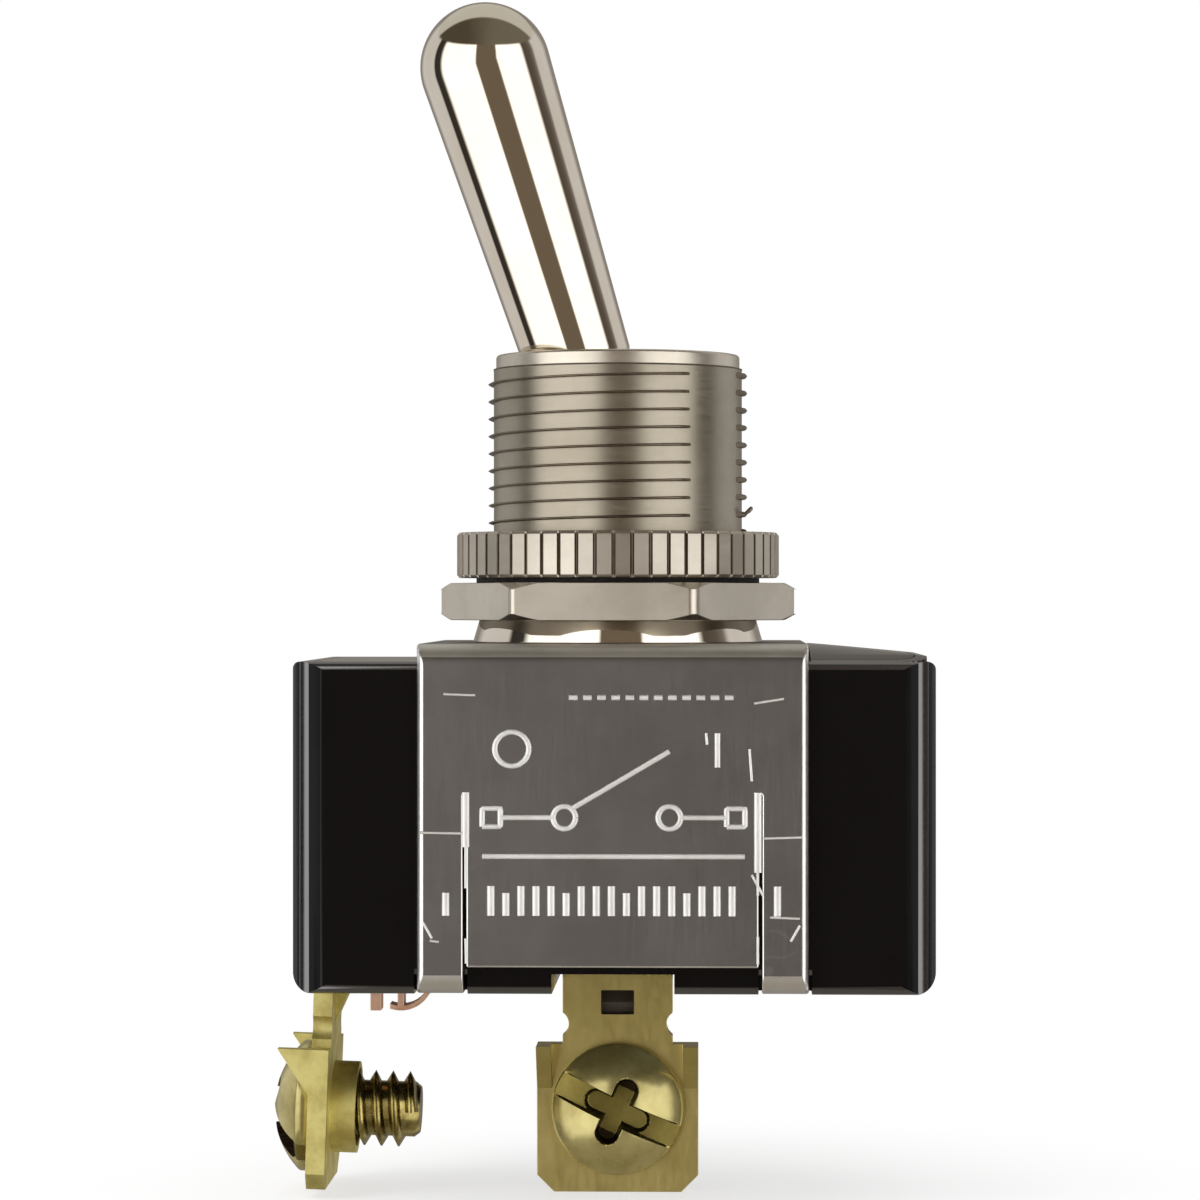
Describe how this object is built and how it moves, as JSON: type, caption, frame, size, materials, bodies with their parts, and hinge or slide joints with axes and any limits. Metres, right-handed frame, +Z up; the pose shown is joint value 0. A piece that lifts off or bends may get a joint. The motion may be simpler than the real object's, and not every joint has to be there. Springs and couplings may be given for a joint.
{
  "type": "panel toggle switch",
  "caption": "Single pole toggle switch with a threaded stem for a panel hole, a steel bracket over a moulded housing, and screw terminals.",
  "frame": {"origin": "on the stem's axis, on top of the stem's collar, where the hex nut seats behind a panel", "axes": "+Z up the stem towards the lever, +X the side that the lever leans away from in the open position, -Y the front that shows the middle screw's head"},
  "size_m": [0.0301, 0.0186, 0.0546],
  "materials": {
    "nickel_satin": "satin nickel plate over brass",
    "nickel_polished": "polished nickel plate over brass",
    "steel": "plain bright steel",
    "brass": "plain brass",
    "plated_sheet": "plated steel sheet with stamped lines",
    "fibre": "vulcanised fibre",
    "phenolic": "glossy black phenolic",
    "silver": "silver contact",
    "terminal_brass": "olive brass with bright edges",
    "copper": "bare copper"
  },
  "bodies": {
    "frame": {"bushing": "nickel_satin", "bracket": "plated_sheet", "insulator": "fibre", "cover": "phenolic", "housing": "phenolic", "cradle": "brass", "centre_terminal": "terminal_brass", "contact_strip": "copper", "fixed_contact": "silver", "end_terminal": "terminal_brass"},
    "lever": {"lever": "nickel_polished", "lever_pin": "steel", "plunger_spring": "steel"},
    "plunger": {"plunger": "brass"},
    "rocker": {"rocker": "brass", "moving_contact": "silver"},
    "hex_nut": {"hex_nut": "nickel_satin"},
    "knurled_nut": {"knurled_nut": "nickel_satin"},
    "centre_screw": {"centre_screw": "terminal_brass"},
    "end_screw": {"end_screw": "terminal_brass"}
  },
  "joints": [
    {"name": "lever_swing", "type": "hinge", "parent": "frame", "child": "lever", "pos_m": [0, 0, 0.0062], "axis": [0, 1, 0], "range_deg": [0, 35.2]},
    {"name": "plunger_slide", "type": "slide", "parent": "lever", "child": "plunger", "axis": [-0.3024, 0, 0.9532], "range_m": [0, 0.001], "stiffness_N_per_m": 30, "springref_m": -0.0005, "deforming": ["plunger_spring"]},
    {"name": "rocker_tilt", "type": "hinge", "parent": "frame", "child": "rocker", "pos_m": [0, 0, -0.0115], "axis": [0, 1, 0], "range_deg": [-24, 0]},
    {"name": "hex_nut_turn", "type": "hinge", "parent": "frame", "child": "hex_nut", "pos_m": [0, 0, 0.00085], "axis": [0, 0, 1], "continuous": true},
    {"name": "knurled_nut_turn", "type": "hinge", "parent": "frame", "child": "knurled_nut", "pos_m": [0, 0, 0.00297], "axis": [0, 0, 1], "continuous": true},
    {"name": "centre_screw_turn", "type": "hinge", "parent": "frame", "child": "centre_screw", "pos_m": [0, -0.00044, -0.02238], "axis": [0, -1, 0], "continuous": true},
    {"name": "end_screw_turn", "type": "hinge", "parent": "frame", "child": "end_screw", "pos_m": [-0.01396, 0, -0.02236], "axis": [-0.9994, 0, 0.0349], "continuous": true}
  ],
  "couplings": [
    {"joint": "rocker_tilt", "follows": "lever_swing", "ratio": -0.68182}
  ]
}
